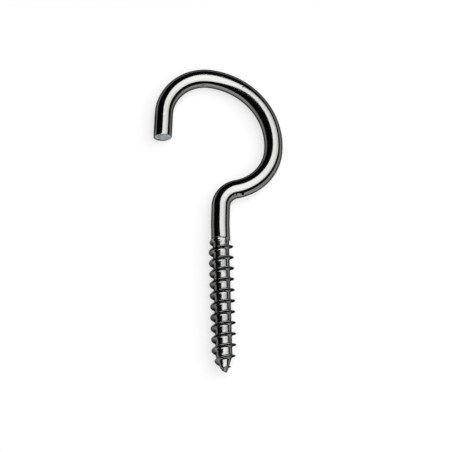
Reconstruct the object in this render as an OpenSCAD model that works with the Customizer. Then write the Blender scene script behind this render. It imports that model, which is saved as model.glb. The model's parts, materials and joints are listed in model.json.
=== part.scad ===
// Screw hook: one steel wire, bent to an open round loop at one end and
// rolled to a coarse wood thread with a blunt point at the other.
// It lies on its side: X across the loop, Y along the screw towards the
// loop, Z up. The origin is on the ground under the middle of its outline.
// Lengths are millimetres, angles are degrees.

/* [Wire] */
// Diameter of the wire
wire_d = 5.8; // [4:0.1:8]
// Broken edge round the cut end of the wire
rim = 0.25; // [0.05:0.05:0.6]
// Slant of the shear cut across the end of the wire
cut_slant = 4; // [0:0.5:20]

/* [Shank] */
// Plain shank from the thread to the bend under the loop
shank_len = 11.1; // [9:0.1:40]
// Lean of the plain shank away from the axis of the screw
shank_lean = 3; // [0:0.1:5]
// Centre-line radius of the bend that carries the shank to the side
neck_r = 6.1; // [5:0.1:10]
// Turn of that bend
neck_turn = 77.8; // [60:0.1:90]

/* [Loop] */
// Centre-line radius of the loop on the side of the neck
side_r = 14.2; // [12:0.1:30]
// Turn of the wire along that side
side_turn = 75.2; // [60:0.1:90]
// Centre-line radius of the loop over its crown
crown_r = 23.3; // [18:0.1:40]
// Turn of the wire over the crown
crown_turn = 85.2; // [70:0.1:100]
// Centre-line radius of the last bend, down to the open end
shoulder_r = 12.8; // [10:0.1:25]
// Turn of that bend
shoulder_turn = 96.5; // [80:0.1:110]
// Straight wire left at the open end
end_len = 8.1; // [3:0.1:30]

/* [Thread] */
// Length of the thread with its point
thread_len = 42.9; // [30:0.1:80]
// Axial distance from one turn of the thread to the next
pitch = 3.53; // [2:0.01:5]
// Diameter over the crests of the thread
crest_d = 7.8; // [7:0.1:10]
// Diameter of the core between the turns
core_d = 5.1; // [3:0.1:5.6]
// Width of the ridge at its foot
ridge_w = 1.45; // [0.8:0.05:1.9]
// Width of the flat on the crest
crest_w = 0.25; // [0.1:0.05:0.6]
// Length over which the core grows to the plain wire above the thread
shoulder_len = 1; // [0.3:0.1:3]
// Length over which the ridge dies out at the top of the thread
runout_len = 1.2; // [1:0.1:6]
// Angle about the screw at which the ridge begins
thread_phase = 231; // [0:1:359]

/* [Point] */
// Length over which the core narrows to the point
point_len = 5.4; // [2:0.1:10]
// Diameter of the blunt end of the point
point_d = 1.5; // [0.6:0.1:2.5]
// Height of the low dome that closes the point
point_dome = 0.15; // [0.05:0.05:0.5]
// Height above the point at which the ridge begins
ridge_start = 0.9; // [0.5:0.1:4]
// Height above the point at which the ridge has grown to the full crest
ridge_full = 7.9; // [4.5:0.1:15]

/* [Hidden] */

wire_r = wire_d / 2;
core_r = core_d / 2;
crest_r = crest_d / 2;
point_r = point_d / 2;
steel = [0.80, 0.82, 0.84];

// Flats round the wire, and the largest turn from one ring of it to the next.
sides = 32;
ring_turn = 5;
// Turns at the point over which the winding opens up to the full pitch, and
// the turns of height that this costs.
opening_turns = 2;
opening_lag = opening_turns * 2 / 3;
// The winding gives way to plain rings this far above the thread.
seam_len = shoulder_len + 1.1 * pitch;
// Length of the slight bend between the screw and the leaning shank.
lean_len = 1;

// The ridge across one pitch: [share of the pitch, share of the height].
RIDGE = [
    [0, 0],
    [(ridge_w - crest_w) / 2 / pitch, 1],
    [(ridge_w + crest_w) / 2 / pitch, 1],
    [ridge_w / pitch, 0],
    [(ridge_w / pitch + 1) / 2, 0]
];

// The wire from point to cut end: [length, turn to the left].
function bend(radius, turn) = [radius * abs(turn) * PI / 180, turn];
STRETCHES = [
    [thread_len + seam_len, 0],
    [lean_len, -shank_lean],
    [shank_len - seam_len - lean_len, 0],
    bend(neck_r, -neck_turn),
    bend(side_r, side_turn),
    bend(crown_r, crown_turn),
    bend(shoulder_r, shoulder_turn),
    [end_len, 0]
];
wire_len = sum_to(len(STRETCHES));
function sum_to(n) = n == 0 ? 0 : STRETCHES[n - 1][0] + sum_to(n - 1);

// A place on the centre line is [x, y, heading]. The first is the point.
function along(at, dist, turn) =
    let (chord = turn == 0 ? dist : dist * sin(turn / 2) / (turn / 2 * PI / 180))
    [at[0] + chord * cos(at[2] + turn / 2), at[1] + chord * sin(at[2] + turn / 2), at[2] + turn];
function place(s, i = 0, at = [0, 0, 90]) =
    let (length = STRETCHES[i][0], turn = STRETCHES[i][1])
    s <= length || i == len(STRETCHES) - 1
        ? along(at, s, turn * s / length)
        : place(s - length, i + 1, along(at, length, turn));

// Distances along the wire at which its rings stand.
function steps(i) = max(1, ceil(abs(STRETCHES[i][1]) / ring_turn));
STATIONS = concat(
    [STRETCHES[0][0]],
    [for (i = [1 : len(STRETCHES) - 2], k = [1 : steps(i)])
        sum_to(i) + STRETCHES[i][0] * k / steps(i)]
);

// The winding of the thread, counted in turns up from the point.
winding_len = thread_len + shoulder_len;
ridge_end = thread_len + shoulder_len / 4;
last_row = ceil(sides * ((winding_len - point_dome) / pitch + opening_lag));
function height_at(turns) = point_dome + pitch * (turns < opening_turns
    ? pow(turns, 3) / (3 * pow(opening_turns, 2))
    : turns - opening_lag);
function row_angle(row) = thread_phase - 360 * row / sides;

// Radius of the core, and how much of the ridge stands, at a height.
function share(x) = max(0, min(1, x));
function core_at(y) =
    point_r + (core_r - point_r) * share(y / point_len)
    + (wire_r - core_r) * share((y - thread_len + shoulder_len) / shoulder_len);
function ridge_at(y) =
    pow(share((y - ridge_start) / (ridge_full - ridge_start)), 0.7)
    * sqrt(share((ridge_end - y) / runout_len));

// Points on the winding, on a ring of the plain wire, and on the cut end.
function winding_point(row, k) =
    let (y = height_at(row / sides + RIDGE[k][0]), a = row_angle(row), core = core_at(y),
        r = core + (crest_r - core) * ridge_at(y) * RIDGE[k][1])
    [r * cos(a), y, r * sin(a)];
function ring(s, r, slant = 0) =
    let (at = place(s), h = at[2])
    [for (j = [0 : sides - 1])
        let (a = row_angle(last_row + j), x = r * cos(a), ahead = x * tan(slant))
        [at[0] + x * sin(h) + ahead * cos(h), at[1] - x * cos(h) + ahead * sin(h), r * sin(a)]];

// Numbers of those points in the list that the solid is made of.
rise = len(RIDGE);
first_ring = (last_row + 1) * rise + sides;
rings = len(STATIONS) + 2;
tip = first_ring + rings * sides;
function on_winding(row, k) =
    k == rise ? on_winding(row + sides, 0)
    : row <= last_row ? row * rise + k
    : (last_row + 1) * rise + row - last_row - 1;
function on_ring(n, j) = first_ring + n * sides + j % sides;
function quad(a, b, c, d) = [[a, c, b], [a, d, c]];

// The hook in its own flat frame, with the point at the origin.
module bent_wire() {
    end = place(wire_len);
    points = concat(
        [for (row = [0 : last_row], k = [0 : rise - 1]) winding_point(row, k)],
        [for (row = [last_row + 1 : last_row + sides]) winding_point(row, 0)],
        [for (s = STATIONS) each ring(s, wire_r)],
        ring(wire_len - rim, wire_r, cut_slant),
        ring(wire_len, wire_r - rim, cut_slant),
        [[0, 0, 0], [end[0], end[1], 0]]
    );
    winding = [for (row = [0 : last_row - 1], k = [0 : rise - 1])
        each quad(on_winding(row, k), on_winding(row + 1, k),
            on_winding(row + 1, k + 1), on_winding(row, k + 1))];
    seam = concat(
        [for (j = [1 : sides - 1])
            each quad(on_winding(last_row + j, 0), on_winding(last_row + j + 1, 0),
                on_ring(0, j + 1), on_ring(0, j))],
        [for (k = [0 : rise - 1])
            [on_ring(0, 1), on_winding(last_row, k), on_winding(last_row, k + 1)]],
        [[on_ring(0, 1), on_winding(last_row, rise), on_ring(0, 0)],
            [on_ring(0, 1), on_winding(last_row + 1, 0), on_winding(last_row, 0)]]
    );
    wire = [for (n = [0 : rings - 2], j = [0 : sides - 1])
        each quad(on_ring(n, j), on_ring(n, j + 1), on_ring(n + 1, j + 1), on_ring(n + 1, j))];
    ends = concat(
        [for (row = [0 : sides - 1]) [tip, on_winding(row, 0), on_winding(row + 1, 0)]],
        [for (k = [0 : rise - 1]) [tip, on_winding(0, k + 1), on_winding(0, k)]],
        [for (j = [0 : sides - 1]) [tip + 1, on_ring(rings - 1, j + 1), on_ring(rings - 1, j)]]
    );
    polyhedron(points, concat(winding, seam, wire, ends));
}

// The hook lies on one crest of its thread and on the far side of its loop,
// and tips towards the side where its weight sinks lowest.
CENTRE_LINE = [for (s = [0 : 0.5 : wire_len]) place(s)];
weight = [for (p = CENTRE_LINE) 1] * CENTRE_LINE / len(CENTRE_LINE);
xs = [for (p = CENTRE_LINE) p[0]];
ys = [for (p = CENTRE_LINE) p[1]];
slope = (crest_r - wire_r) / (max(ys) - thread_len);

// Crests on the underside: [height above the point, radius].
function crest_under(turn) =
    let (y = height_at(turn + (thread_phase + 90) / 360 + RIDGE[1][0]))
    [y, core_at(y) + (crest_r - core_at(y)) * ridge_at(y)];
CRESTS = [for (turn = [0 : last_row / sides - 1]) crest_under(turn)];
lowest = max([for (c = CRESTS) c[1] + slope * c[0]]);
foot = [for (c = CRESTS) if (c[1] + slope * c[0] == lowest) c][0];

function ahead_of_foot(p, a) = p[0] * sin(a) + (p[1] - foot[0]) * cos(a);
function reach(a) = max([for (p = CENTRE_LINE) ahead_of_foot(p, a)]);
SIDES_TO_TRY = [-45 : 0.5 : 45];
most_sunk = max([for (a = SIDES_TO_TRY) ahead_of_foot(weight, a) / reach(a)]);
tip_side = [for (a = SIDES_TO_TRY) if (ahead_of_foot(weight, a) / reach(a) == most_sunk) a][0];
rest_tilt = asin((foot[1] - wire_r) / reach(tip_side));
rest_lift = foot[1] + sin(rest_tilt) * foot[0] * cos(tip_side);

// Middle of the outline on the ground.
middle_x = (min(xs) + max(xs)) / 2;
middle_y = (max(ys) + wire_r) / 2;

module screw_hook() {
    color(steel)
        translate([-middle_x, -middle_y, rest_lift])
            rotate(a = rest_tilt, v = [-cos(tip_side), sin(tip_side), 0])
                bent_wire();
}

screw_hook();
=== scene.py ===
import json
import math

import bpy
import numpy as np
from mathutils import Matrix, Vector


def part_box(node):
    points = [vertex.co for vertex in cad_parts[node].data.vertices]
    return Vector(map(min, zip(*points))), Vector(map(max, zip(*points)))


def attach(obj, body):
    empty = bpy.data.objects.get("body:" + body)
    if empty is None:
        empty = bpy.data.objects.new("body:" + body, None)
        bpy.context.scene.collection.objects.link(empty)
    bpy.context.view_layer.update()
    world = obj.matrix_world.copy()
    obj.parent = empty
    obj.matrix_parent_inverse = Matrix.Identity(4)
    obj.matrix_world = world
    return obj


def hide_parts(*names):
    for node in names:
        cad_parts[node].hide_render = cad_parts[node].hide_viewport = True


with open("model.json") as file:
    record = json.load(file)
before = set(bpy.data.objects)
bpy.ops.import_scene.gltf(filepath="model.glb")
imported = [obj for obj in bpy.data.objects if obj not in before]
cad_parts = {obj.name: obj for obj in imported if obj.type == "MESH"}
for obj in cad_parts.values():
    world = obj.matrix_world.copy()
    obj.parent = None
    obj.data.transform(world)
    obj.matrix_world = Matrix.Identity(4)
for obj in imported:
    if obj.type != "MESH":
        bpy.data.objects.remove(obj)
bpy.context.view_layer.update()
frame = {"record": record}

# The scene shows one screw hook, lying on a pale floor. Lengths of the hook are
# millimetres and angles are degrees, as in the part, and everything that goes
# to Blender is turned to metres. The studio and the bumps are in metres.
MM = 0.001

# The wire, just inside the flats of the part's own.
WIRE_R = 2.883
RIM = 0.25
CUT_SLANT = 4
CUT_SLANT_LEN = 2
FACE_HOLLOW = 0.1
END_LEN = 8.1

# The bends, as centre-line radius and turn to the left.
NECK = (6.1, -77.8)
SIDE = (14.2, 75.2)
CROWN = (23.3, 85.2)
SHOULDER = (12.8, 96.5)
SHANK_LEN = 11.1
SHANK_LEAN = 3
LEAN_LEN = 1

# The thread and its point. The winding gives way to plain rings some turns
# above the collar.
THREAD_LEN = 42.9
PITCH = 3.53
CREST_R = 3.9
CORE_R = 2.55
COLLAR_LEN = 1
SEAM_TURNS = 1.1
RIDGE_END = 43.1
RUNOUT_LEN = 1.9
THREAD_PHASE = 231
POINT_LEN = 5.4
POINT_R = 0.75
POINT_DOME = 0.04
RIDGE_START = 0.9
RIDGE_FULL = 7.9
RIDGE_GROWTH = 0.7
OPENING_TURNS = 2

# The ridge in section: its crest, each flank's run and the hollow at its foot,
# as run, share of the height and sharpness. The crest leans to the point.
CREST_AT = 0.725
CREST_W = 0.28
CREST_SHARE = 0.1
RIDGE_CURL = 0.12
LOWER_RUN = 0.43
LOWER_HOLLOW = (0.36, 0.4, 1.5)
UPPER_RUN = 0.25
UPPER_HOLLOW = (0.08, 0.15, 1.5)

# The rolled crest isn't quite even: height, waves for each turn and phase. The
# margin comes off its radius, and keeps it inside the part's box.
CREST_WAVES = [(0.045, 0.37, 1), (0.03, 1.31, 0)]
CREST_MARGIN = 0.05

# The nose of the point is round, has a shallow groove and is cut at a slant.
NOSE_LEN = 0.3
GROOVE_AT = 0.55
GROOVE_LEN = 0.13
GROOVE_DEPTH = 0.1
NOSE_SLANT = 0.4
SLANT_LEN = 1.6

# Rolled steps between the core and the wire, as height and rise. The upper one
# leaves a swelling that falls away along the wire.
STEPS = [(41.85, 0.1), (42.8, 0.28)]
STEP_LEN = 0.25
SWELL_AT = 43
SWELL_LEN = 2.2

# Fineness of the mesh. The points on a flank crowd towards its foot.
SIDES = 96
RING_STEP = 0.19
FLANK_POINTS = 8
FLANK_CROWDING = 1.3
CAP_POINTS = 4
GAP_POINTS = 15
RIM_RINGS = 5
FACE_RINGS = 8
# Half the step over which a slope is measured, and how far above the collar the
# exact normals begin.
SLOPE_STEP = 0.01
EXACT_FROM = 0.2

# Small marks that the bending tools left: distance from the point, angle about
# the wire, half length, half width and depth. A mark of negative depth stands up.
MARKS = [
    (118.1, 164, 0.9, 0.32, 0.26),
    (116.7, 92, 0.2, 0.35, 0.02),
    (104.9, 87, 0.16, 0.16, 0.05),
    (67.8, 22, 3.0, 0.25, 0.1),
    (63.6, 14, 0.45, 0.55, -0.28),
    (62.3, 30, 0.3, 0.4, 0.12),
    (61.5, 20, 0.3, 0.4, -0.12),
    (60.7, 32, 0.3, 0.4, 0.12),
    (59.9, 20, 0.3, 0.4, -0.12),
    (59.1, 30, 0.3, 0.4, 0.1),
    (138.5, 97, 0.3, 0.25, 0.06),
]
# Where the wire was held while its end was bent: a flat with quick, soft ends.
GRIP_AT = 140.5
GRIP_LEN = 3.6
GRIP_ANGLE = 25
GRIP_DEPTH = 0.12
GRIP_QUICKNESS = 1.6

# The camera, fitted to the outline in the photograph of 452 pixels a side.
CAMERA_TARGET = (1.73, -2.57, 3.0)
CAMERA_DISTANCE = 700
CAMERA_ELEVATION = 70
CAMERA_TURN = 1.58
PIXELS_PER_MM = 3.227
PHOTO_SIDE = 452
SENSOR = 36

# The steel, bright on the wire and duller in the thread, under a smoky film, which
# darkens it more where one looks along the surface. The cut end is bare.
WIRE_COLOUR = (0.95, 0.95, 0.9)
THREAD_COLOUR = (0.62, 0.70, 0.66)
CUT_COLOUR = (0.30, 0.375, 0.395)
FILM_TINT = 0.36
WIRE_ROUGHNESS = (0.09, 0.14)
THREAD_ROUGHNESS = (0.14, 0.26)
CUT_ROUGHNESS = (0.25, 0.45)
THREAD_FADE = 1

# Noise in the steel: scale, detail and stretch. The drawn lines run along the screw's
# axis, and the grain of the cut runs up its face.
DRAWN_LINES = (900, 3, (1, 0.15, 1))
MOTTLE = (750, 3)
BLOTCHES = (260, 2)
GRAIN = (900, 4, (1, 1, 0.35))
# The ranges of the noise that are spread over a whole effect.
SOFT_NOISE = (0.3, 0.7)
DULL_NOISE = (0.42, 0.62)
ROUGH_NOISE = (0.4, 0.62)
DARK_NOISE = (0.4, 0.65)
# Height in metres and strength of each bump.
DRAWN_BUMP = (0.00001, 0.25)
ROLLED_BUMP = (0.00006, 0.5)
GRAIN_BUMP = (0.0001, 0.8)

# The lower left of the cut is dark, outside a circle that lies off the middle.
DARK_CUT_COLOUR = (0.04, 0.045, 0.045)
CIRCLE_R = 2.55
CIRCLE_SHIFT = (0.35, 0, 0.55)
DARK_EDGE = 0.3
GRAIN_DARKNESS = 0.4

# The studio: a large soft oval lamp overhead, turned about the upright, and a dark
# curtain.
LAMP_HEIGHT = 1.2
LAMP_SIZE = (2.04, 4.08)
LAMP_PLACE = (0.92, 0.18)
LAMP_TURN = -40
LAMP_SPREAD = 160
LAMP_RADIANCE = 2.1
FILL = 0.05
FLOOR_SIDE = 12
FLOOR_COLOUR = 0.36
FLOOR_GLOW = 0.62
ROOM_SIDE = 8
ROOM_HEIGHT = 1.7
CLOTH_COLOUR = (0.5, 0.55, 0.55)
CLOTH_GLOW = 0.01


def bend(radius, turn):
    """A bend of the wire, as its length and its turn to the left."""
    return radius * abs(math.radians(turn)), turn


SEAM_LEN = COLLAR_LEN + SEAM_TURNS * PITCH
STRETCHES = [
    (THREAD_LEN + SEAM_LEN, 0),
    (LEAN_LEN, -SHANK_LEAN),
    (SHANK_LEN - SEAM_LEN - LEAN_LEN, 0),
    bend(*NECK),
    bend(*SIDE),
    bend(*CROWN),
    bend(*SHOULDER),
    (END_LEN, 0),
]
WIRE_LEN = sum(length for length, _ in STRETCHES)


def along(at, distance, turn):
    """The place and heading after a stretch of the wire."""
    half = math.radians(turn / 2)
    chord = distance * math.sin(half) / half if turn else distance
    way = math.radians(at[2] + turn / 2)
    return at[0] + chord * math.cos(way), at[1] + chord * math.sin(way), at[2] + turn


def place(distance):
    """The place and heading of the wire at a distance from its point."""
    at = (0, 0, 90)
    for i, (length, turn) in enumerate(STRETCHES):
        if distance <= length or i == len(STRETCHES) - 1:
            return along(at, distance, turn * distance / length)
        at = along(at, length, turn)
        distance -= length


def share(x):
    """A number held between 0 and 1."""
    return np.clip(x, 0, 1)


def smooth(x):
    """A soft step from 0 to 1."""
    x = share(x)
    return x * x * (3 - 2 * x)


# The turns of height that the opening of the pitch costs.
OPENING_LAG = OPENING_TURNS * 2 / 3


def height_at(turns):
    """Height of the winding above the point, where the pitch opens over the first turns."""
    opening = turns ** 3 / (3 * OPENING_TURNS ** 2)
    return POINT_DOME + PITCH * np.where(turns < OPENING_TURNS, opening, turns - OPENING_LAG)


def core_at(y):
    """Radius under the ridge: round nose, straight taper, core, rolled steps and swelling."""
    nose = np.sqrt(1 - (1 - share(y / NOSE_LEN)) ** 2)
    groove = GROOVE_DEPTH * np.exp(-(((y - GROOVE_AT) / GROOVE_LEN) ** 2))
    taper = POINT_R * nose - groove + (CORE_R - POINT_R) * share(y / POINT_LEN)
    steps = sum(rise * smooth((y - at) / STEP_LEN + 0.5) for at, rise in STEPS)
    swelling = CORE_R + sum(rise for _, rise in STEPS) - WIRE_R
    return taper + steps - swelling * smooth((y - SWELL_AT) / SWELL_LEN)


def ridge_at(y):
    """How much of the ridge stands at a height above the point."""
    growth = share((y - RIDGE_START) / (RIDGE_FULL - RIDGE_START)) ** RIDGE_GROWTH
    return growth * np.sqrt(share((RIDGE_END - y) / RUNOUT_LEN))


def crest_wave(turns):
    """How far the crest stands out or back at a turn of the thread."""
    return sum(
        height * np.sin(2 * math.pi * turns * waves + phase) for height, waves, phase in CREST_WAVES
    )


def flank(height, run, hollow):
    """How far along the screw a flank lies from the crest's middle, at a share of the height."""
    foot, depth, sharpness = hollow
    return CREST_W / 2 + run * (1 - height) + foot * share(1 - height / depth) ** sharpness


def ridge_outline():
    """The ridge across one pitch, as shares of the pitch and of its height, from its lower foot."""
    top = 1 - CREST_SHARE
    heights = [(k / FLANK_POINTS) ** FLANK_CROWDING * top for k in range(FLANK_POINTS)]
    cap = [math.radians(180 * k / CAP_POINTS) for k in range(CAP_POINTS + 1)]
    lower = [(-flank(h / top, LOWER_RUN, LOWER_HOLLOW), h) for h in heights]
    crest = [(-CREST_W / 2 * math.cos(a), top + CREST_SHARE * math.sin(a)) for a in cap]
    upper = [(flank(h / top, UPPER_RUN, UPPER_HOLLOW), h) for h in heights][::-1]
    start = lower[0][0]
    ridge = [(x - start - RIDGE_CURL * h * h, h) for x, h in lower + crest + upper]
    width = ridge[-1][0]
    gap = [(width + (PITCH - width) * k / GAP_POINTS, 0) for k in range(1, GAP_POINTS)]
    return [(x / PITCH, h) for x, h in ridge + gap]


# Numbers of the points: rows of the winding, then its top line, then the rings.
OUTLINE = np.array(ridge_outline())
ACROSS = len(OUTLINE)
WINDING_LEN = THREAD_LEN + COLLAR_LEN
LAST_ROW = math.ceil(SIDES * ((WINDING_LEN - POINT_DOME) / PITCH + OPENING_LAG))
BODY_POINTS = (LAST_ROW + 1) * ACROSS
FIRST_RING = BODY_POINTS + SIDES

# The lower foot is set so that the crest stays where it is on the part.
FOOT_PHASE = THREAD_PHASE + 360 / PITCH * (CREST_AT - float(flank(0, LOWER_RUN, LOWER_HOLLOW)))


def row_angle(row):
    """Angle about the screw at which a row of the winding stands."""
    return FOOT_PHASE - 360 * row / SIDES


def winding_points():
    """Points and normals of the thread, in rows that each cross the ridge and the gap above it."""
    row = np.arange(LAST_ROW + SIDES + 1)[:, None]
    turns = row / SIDES + OUTLINE[None, :, 0]
    y = height_at(turns)
    angle = np.radians(row_angle(row)) + 0 * y
    core = core_at(y)
    crest = CREST_R + crest_wave(turns) - CREST_MARGIN
    r = core + (crest - core) * ridge_at(y) * OUTLINE[None, :, 1]
    side = r * np.cos(angle)
    slant = NOSE_SLANT * (POINT_R - side) * (1 - smooth(y / SLANT_LEN))
    points = np.stack([side, y + slant, r * np.sin(angle)], axis=-1)
    slope = (core_at(y + SLOPE_STEP) - core_at(y - SLOPE_STEP)) / (2 * SLOPE_STEP)
    normals = np.stack([np.cos(angle), -slope, np.sin(angle)], axis=-1)
    return points, normals / np.linalg.norm(normals, axis=-1, keepdims=True)


def dent(distance, angle, mark):
    """Depth of one mark at places on the wire."""
    at, about, half_len, half_wide, depth = mark
    across = np.radians((angle - about + 180) % 360 - 180) * WIRE_R
    away = ((distance - at) / half_len) ** 2 + (across / half_wide) ** 2
    return depth * np.exp(-away)


def grip(distance, angle):
    """Depth of the flat that the bending tool pressed on the outside of the loop's end."""
    # The flat ends long before the cosine falls to 0.1, which only keeps it from zero.
    cosine = np.cos(np.radians(angle - GRIP_ANGLE))
    flat = np.clip(1 - (1 - GRIP_DEPTH / WIRE_R) / np.maximum(cosine, 0.1), 0, None) * WIRE_R
    reach = smooth(GRIP_QUICKNESS * (1 - np.abs(distance - GRIP_AT) / GRIP_LEN))
    return flat * reach


def ring(distance, radius, slant=0, beyond=0):
    """A ring of the wire, with the marks that lie there. It may stand beyond its distance."""
    x, y, heading = place(distance)
    h = math.radians(heading)
    angle = row_angle(LAST_ROW + np.arange(SIDES)) % 360
    r = radius - sum(dent(distance, angle, mark) for mark in MARKS) - grip(distance, angle)
    a = np.radians(angle)
    side = r * np.cos(a)
    ahead = side * math.tan(math.radians(slant)) + beyond
    across = x + side * math.sin(h) + ahead * math.cos(h)
    up = y - side * math.cos(h) + ahead * math.sin(h)
    return np.stack([across, up, r * np.sin(a)], axis=-1)


def plain_rings():
    """The plain wire, whose rings turn to the slant of the cut near its end."""
    first = THREAD_LEN + SEAM_LEN
    last = WIRE_LEN - RIM
    count = round((last - first) / RING_STEP)
    for k in range(count + 1):
        distance = first + (last - first) * k / count
        yield ring(distance, WIRE_R, CUT_SLANT * smooth(1 - (last - distance) / CUT_SLANT_LEN))


def end_rings():
    """The rounded rim of the wire and its sheared end face."""
    last = WIRE_LEN - RIM
    for k in range(1, RIM_RINGS + 1):
        a = math.radians(90 * k / RIM_RINGS)
        yield ring(last, WIRE_R - RIM + RIM * math.cos(a), CUT_SLANT, RIM * math.sin(a))
    for k in range(1, FACE_RINGS):
        radius = (WIRE_R - RIM) * (1 - k / FACE_RINGS)
        hollow = FACE_HOLLOW * (1 - (radius / WIRE_R) ** 2)
        yield ring(last, radius, CUT_SLANT, RIM - hollow)


def on_winding(row, k):
    """Number of a point on the winding. Past the outline comes the row one turn up."""
    if k == ACROSS:
        return on_winding(row + SIDES, 0)
    if row <= LAST_ROW:
        return row * ACROSS + k
    return BODY_POINTS + row - LAST_ROW - 1


def on_ring(n, j):
    """Number of a point on a ring."""
    return FIRST_RING + n * SIDES + j % SIDES


def quad(a, b, c, d):
    """A face of four points, turned to be seen from outside."""
    return [(d, c, b, a)]


def winding_faces():
    """The thread, from row to row."""
    faces = []
    for row in range(LAST_ROW):
        for k in range(ACROSS):
            low, high = on_winding(row, k), on_winding(row, k + 1)
            faces += quad(low, high, on_winding(row + 1, k + 1), on_winding(row + 1, k))
    return faces


def seam_faces():
    """The band between the last turn of the winding and the first ring."""
    faces = []
    for j in range(1, SIDES):
        low, high = on_winding(LAST_ROW + j, 0), on_winding(LAST_ROW + j + 1, 0)
        faces += quad(low, on_ring(0, j), on_ring(0, j + 1), high)
    column = [on_winding(LAST_ROW, k) for k in range(ACROSS + 1)]
    faces += [(above, below, on_ring(0, 1)) for below, above in zip(column, column[1:])]
    faces += [(column[-1], on_ring(0, 1), on_ring(0, 0))]
    faces += [(column[0], on_winding(LAST_ROW + 1, 0), on_ring(0, 1))]
    return faces


def ring_faces(count):
    """The wire, from ring to ring."""
    faces = []
    for n in range(count - 1):
        for j in range(SIDES):
            faces += quad(on_ring(n, j), on_ring(n + 1, j), on_ring(n + 1, j + 1), on_ring(n, j + 1))
    return faces


def closing_faces(count):
    """Fans that close the point and the end face. Their middles are the last two points."""
    tip, middle = on_ring(count, 0), on_ring(count, 0) + 1
    faces = [(on_winding(row + 1, 0), on_winding(row, 0), tip) for row in range(SIDES)]
    faces += [(on_winding(0, k), on_winding(0, k + 1), tip) for k in range(ACROSS)]
    faces += [(on_ring(count - 1, j), on_ring(count - 1, j + 1), middle) for j in range(SIDES)]
    return faces


def exact_normals(body, normals, total):
    """Normals where the last turn meets the first ring, and zero where Blender's own are right."""
    known = np.zeros((total, 3))
    level = normals[:LAST_ROW + 1].copy()
    level[body[..., 1] < WINDING_LEN + EXACT_FROM] = 0
    known[:BODY_POINTS] = level.reshape(-1, 3)
    known[BODY_POINTS:FIRST_RING] = normals[LAST_ROW + 1:, 0]
    a = np.radians(row_angle(LAST_ROW + np.arange(SIDES)))
    known[FIRST_RING:FIRST_RING + SIDES] = np.stack([np.cos(a), 0 * a, np.sin(a)], axis=-1)
    return known


def hook_mesh():
    """Points, faces and exact normals of the hook in its own flat frame, with the point at the origin."""
    winding, normals = winding_points()
    rings = np.array([*plain_rings(), *end_rings()])
    body, top_line = winding[:LAST_ROW + 1], winding[LAST_ROW + 1:, 0]
    middles = [[0, NOSE_SLANT * POINT_R, 0], rings[-1].mean(axis=0)]
    points = np.concatenate([body.reshape(-1, 3), top_line, rings.reshape(-1, 3), middles])
    faces = winding_faces() + seam_faces() + ring_faces(len(rings)) + closing_faces(len(rings))
    return points, faces, exact_normals(body, normals, len(points))


def mount(name):
    """One of the part's mounts."""
    return next(m for m in frame["record"]["mounts"] if m["name"] == name)


def resting():
    """How the hook lies: its screw and the plane of its loop, taken from the part's mounts."""
    up_screw = -Vector(mount("wood_thread")["axis"]).normalized()
    normal = Vector(mount("loop")["axis"])
    normal = (normal - normal.dot(up_screw) * up_screw).normalized()
    side = up_screw.cross(normal)
    turn = Matrix((side, up_screw, normal)).transposed()
    point = Vector(mount("wood_thread")["pos_m"]) - up_screw * THREAD_LEN / 2 * MM
    return Matrix.Translation(point) @ turn.to_4x4()


def put(name, data):
    """A new object in the scene."""
    thing = bpy.data.objects.new(name, data)
    bpy.context.scene.collection.objects.link(thing)
    return thing


def build_hook():
    """The hook's own mesh, in metres, laid where the part lies."""
    points, faces, known = hook_mesh()
    lay = resting()
    mesh = bpy.data.meshes.new("screw_hook_steel")
    mesh.from_pydata((points * MM).tolist(), [], faces)
    cut = len(points) - 2 - FACE_RINGS * SIDES
    for face in mesh.polygons:
        face.material_index = int(min(face.vertices) >= cut)
    mesh.transform(lay)
    mesh.shade_smooth()
    turn = np.array(lay.to_3x3())
    mesh.normals_split_custom_set_from_vertices((known @ turn.T).tolist())
    mesh.materials.append(steel())
    mesh.materials.append(cut_steel(mesh.vertices[-1].co))
    return put("screw_hook_steel", mesh)


def node_tree(owner):
    """An empty node tree for a material or a world."""
    owner.use_nodes = True
    owner.node_tree.nodes.clear()
    return owner.node_tree


def add_node(tree, kind, **sockets):
    """A new node, with its input sockets set by name."""
    node = tree.nodes.new(kind)
    for name, value in sockets.items():
        node.inputs[name.replace("_", " ")].default_value = value
    return node


def finish(tree, result, kind="ShaderNodeOutputMaterial"):
    """Sends a shader to the output of its tree."""
    tree.links.new(result, tree.nodes.new(kind).inputs["Surface"])


def noise(tree, place_from, scale, detail, stretch=(1, 1, 1)):
    """A noise texture over the hook's own place, stretched along an axis."""
    mapping = add_node(tree, "ShaderNodeMapping", Scale=stretch)
    tree.links.new(place_from, mapping.inputs["Vector"])
    texture = add_node(tree, "ShaderNodeTexNoise", Scale=scale, Detail=detail)
    tree.links.new(mapping.outputs["Vector"], texture.inputs["Vector"])
    return texture.outputs["Fac"]


def ramp(tree, value, low, high, start, end):
    """A value carried from one range to another."""
    node = tree.nodes.new("ShaderNodeMapRange")
    for name, number in (("From Min", low), ("From Max", high), ("To Min", start), ("To Max", end)):
        node.inputs[name].default_value = number
    tree.links.new(value, node.inputs["Value"])
    return node.outputs["Result"]


def maths(tree, operation, first, second):
    """Two values, or a value and a number, taken together."""
    node = tree.nodes.new("ShaderNodeMath")
    node.operation = operation
    for socket, value in zip(node.inputs, (first, second)):
        if isinstance(value, (int, float)):
            socket.default_value = value
        else:
            tree.links.new(value, socket)
    return node.outputs["Value"]


def bump(tree, height, distance, strength, under=None):
    """A bumped normal, on top of another if there is one."""
    node = add_node(tree, "ShaderNodeBump", Strength=strength, Distance=distance)
    tree.links.new(height, node.inputs["Height"])
    if under:
        tree.links.new(under, node.inputs["Normal"])
    return node.outputs["Normal"]


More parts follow.
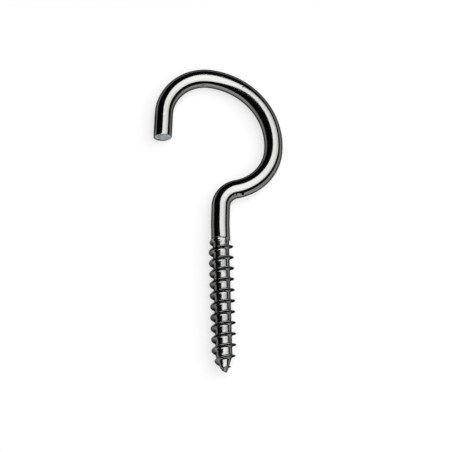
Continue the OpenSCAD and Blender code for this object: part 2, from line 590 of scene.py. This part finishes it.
def two_colours(tree, value, low, high):
    """A colour carried from one to another by a value from 0 to 1."""
    node = tree.nodes.new("ShaderNodeValToRGB")
    for stop, colour in zip(node.color_ramp.elements, (low, high)):
        stop.color = (*colour, 1)
    tree.links.new(value, node.inputs["Fac"])
    return node.outputs["Color"]


def mixed(tree, factor, first, second):
    """One value or another, by a factor from 0 to 1."""
    node = tree.nodes.new("ShaderNodeMix")
    for name, value in (("Factor", factor), ("A", first), ("B", second)):
        tree.links.new(value, node.inputs[name])
    return node.outputs["Result"]


def below_thread_top(tree, at):
    """One in the thread and zero on the plain wire."""
    split = tree.nodes.new("ShaderNodeSeparateXYZ")
    tree.links.new(at, split.inputs["Vector"])
    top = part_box("screw_hook")[0].y + THREAD_LEN * MM
    return ramp(tree, split.outputs["Y"], top, top - THREAD_FADE * MM, 0, 1)


def smoky_film(shader):
    """A clear coat that only tints, and more where one looks along the surface."""
    shader.inputs["Coat Weight"].default_value = 1
    shader.inputs["Coat Roughness"].default_value = 0
    shader.inputs["Coat IOR"].default_value = 1
    shader.inputs["Coat Tint"].default_value = (FILM_TINT, FILM_TINT, FILM_TINT, 1)


def steel():
    """Bright drawn steel: mirror-like on the wire, duller, rolled and mottled in the thread."""
    material = bpy.data.materials.new("bright_steel")
    tree = node_tree(material)
    at = tree.nodes.new("ShaderNodeTexCoord").outputs["Object"]
    in_thread = below_thread_top(tree, at)
    mottle = noise(tree, at, *MOTTLE)

    shader = add_node(tree, "ShaderNodeBsdfPrincipled", Metallic=1.0)
    dull = maths(tree, "MULTIPLY", in_thread, ramp(tree, mottle, *DULL_NOISE, 0, 1))
    tree.links.new(two_colours(tree, dull, WIRE_COLOUR, THREAD_COLOUR), shader.inputs["Base Color"])
    shader.inputs["Specular Tint"].default_value = (0.0, 0.0, 0.0, 1)
    smoky_film(shader)
    plain = ramp(tree, noise(tree, at, *BLOTCHES), *SOFT_NOISE, *WIRE_ROUGHNESS)
    rolled = ramp(tree, mottle, *ROUGH_NOISE, *THREAD_ROUGHNESS)
    tree.links.new(mixed(tree, in_thread, plain, rolled), shader.inputs["Roughness"])

    fine = bump(tree, noise(tree, at, *DRAWN_LINES), *DRAWN_BUMP)
    coarse = bump(tree, maths(tree, "MULTIPLY", mottle, in_thread), *ROLLED_BUMP, fine)
    tree.links.new(coarse, shader.inputs["Normal"])
    finish(tree, shader.outputs["BSDF"])
    return material


def dark_lower_left(tree, at, grain, middle):
    """One on the dark lower left of the cut and zero inside the circle off its middle."""
    apart = tree.nodes.new("ShaderNodeVectorMath")
    apart.operation = "DISTANCE"
    apart.inputs[1].default_value = Vector(middle) + Vector(CIRCLE_SHIFT) * MM
    tree.links.new(at, apart.inputs[0])
    edge = ramp(tree, grain, *SOFT_NOISE, 0, DARK_EDGE * MM)
    ragged = maths(tree, "ADD", apart.outputs["Value"], edge)
    return ramp(tree, ragged, CIRCLE_R * MM, (CIRCLE_R + DARK_EDGE) * MM, 0, 1)


def cut_steel(middle):
    """The sheared face: matt, grained by the blade, and dark on its lower left."""
    material = bpy.data.materials.new("cut_steel")
    tree = node_tree(material)
    at = tree.nodes.new("ShaderNodeTexCoord").outputs["Object"]
    grain = noise(tree, at, *GRAIN)
    shader = add_node(tree, "ShaderNodeBsdfPrincipled", Metallic=1.0)
    dark_grain = ramp(tree, grain, *DARK_NOISE, 0, GRAIN_DARKNESS)
    dark = maths(tree, "MAXIMUM", dark_lower_left(tree, at, grain, middle), dark_grain)
    tree.links.new(two_colours(tree, dark, CUT_COLOUR, DARK_CUT_COLOUR), shader.inputs["Base Color"])
    tree.links.new(ramp(tree, grain, *SOFT_NOISE, *CUT_ROUGHNESS), shader.inputs["Roughness"])
    tree.links.new(bump(tree, grain, *GRAIN_BUMP), shader.inputs["Normal"])
    finish(tree, shader.outputs["BSDF"])
    return material


def seen_directly(tree):
    """One where the camera, a mirror or glass looks on, and zero for light on matt surfaces."""
    path = tree.nodes.new("ShaderNodeLightPath")
    seen = maths(tree, "MAXIMUM", path.outputs["Is Camera Ray"], path.outputs["Is Glossy Ray"])
    return maths(tree, "MAXIMUM", seen, path.outputs["Is Transmission Ray"])


def square(side, z):
    """Corners of a level square about the origin."""
    half = side / 2
    return [(-half, -half, z), (half, -half, z), (half, half, z), (-half, half, z)]


def pale_floor():
    """A large matt white floor under the hook, with a glow of its own that thins the shadow."""
    mesh = bpy.data.meshes.new("floor")
    mesh.from_pydata(square(FLOOR_SIDE, 0), [], [(0, 1, 2, 3)])
    material = bpy.data.materials.new("floor_white")
    tree = node_tree(material)
    matt = add_node(tree, "ShaderNodeBsdfDiffuse", Color=(FLOOR_COLOUR, FLOOR_COLOUR, FLOOR_COLOUR, 1))
    glow = add_node(tree, "ShaderNodeEmission", Color=(FLOOR_GLOW, FLOOR_GLOW, FLOOR_GLOW, 1))
    tree.links.new(seen_directly(tree), glow.inputs["Strength"])
    both = tree.nodes.new("ShaderNodeAddShader")
    tree.links.new(matt.outputs["BSDF"], both.inputs[0])
    tree.links.new(glow.outputs["Emission"], both.inputs[1])
    finish(tree, both.outputs["Shader"])
    mesh.materials.append(material)
    floor = put("floor", mesh)


def dark_curtain():
    """Black cloth round and above the set, which only mirrors see."""
    corners = square(ROOM_SIDE, 0) + square(ROOM_SIDE, ROOM_HEIGHT)
    walls = [(0, 1, 5, 4), (1, 2, 6, 5), (2, 3, 7, 6), (3, 0, 4, 7)]
    ceiling = (4, 5, 6, 7)
    mesh = bpy.data.meshes.new("curtain")
    mesh.from_pydata(corners, [], [*walls, ceiling])
    material = bpy.data.materials.new("black_cloth")
    tree = node_tree(material)
    cloth = add_node(tree, "ShaderNodeEmission", Color=(*CLOTH_COLOUR, 1), Strength=CLOTH_GLOW)
    finish(tree, cloth.outputs["Emission"])
    mesh.materials.append(material)
    curtain = put("curtain", mesh)
    curtain.visible_camera = False
    curtain.visible_diffuse = False
    curtain.visible_shadow = False


def soft_lamp():
    """One large soft lamp overhead. Its power follows from its size and its radiance."""
    light = bpy.data.lights.new("soft_lamp", "AREA")
    light.shape = "ELLIPSE"
    light.size, light.size_y = LAMP_SIZE
    light.spread = math.radians(LAMP_SPREAD)
    light.energy = LAMP_RADIANCE * math.pi ** 2 / 4 * LAMP_SIZE[0] * LAMP_SIZE[1]
    lamp = put("soft_lamp", light)
    lamp.location = (*LAMP_PLACE, LAMP_HEIGHT)
    lamp.rotation_euler = (0, 0, math.radians(LAMP_TURN))


def pale_surroundings():
    """White all round for whoever looks, and a weak fill for matt surfaces."""
    world = bpy.data.worlds.new("surroundings")
    bpy.context.scene.world = world
    tree = node_tree(world)
    background = add_node(tree, "ShaderNodeBackground")
    tree.links.new(ramp(tree, seen_directly(tree), 0, 1, FILL, 1), background.inputs["Strength"])
    finish(tree, background.outputs["Background"], "ShaderNodeOutputWorld")


def camera():
    """The photograph's view, from above and a little to the point's side."""
    up, turn = math.radians(CAMERA_ELEVATION), math.radians(CAMERA_TURN)
    forward = Vector((math.sin(turn) * math.cos(up), math.cos(turn) * math.cos(up), -math.sin(up)))
    lens = bpy.data.cameras.new("camera")
    lens.sensor_width = SENSOR
    lens.lens = PIXELS_PER_MM * CAMERA_DISTANCE / PHOTO_SIDE * SENSOR
    seat = put("camera", lens)
    seat.location = (Vector(CAMERA_TARGET) - forward * CAMERA_DISTANCE) * MM
    seat.rotation_euler = (math.radians(90) - up, 0, -turn)
    bpy.context.scene.camera = seat


camera()
hook = build_hook()
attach(hook, "root")
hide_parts("screw_hook")
pale_floor()
dark_curtain()
soft_lamp()
pale_surroundings()
bpy.context.scene.view_settings.view_transform = "Standard"
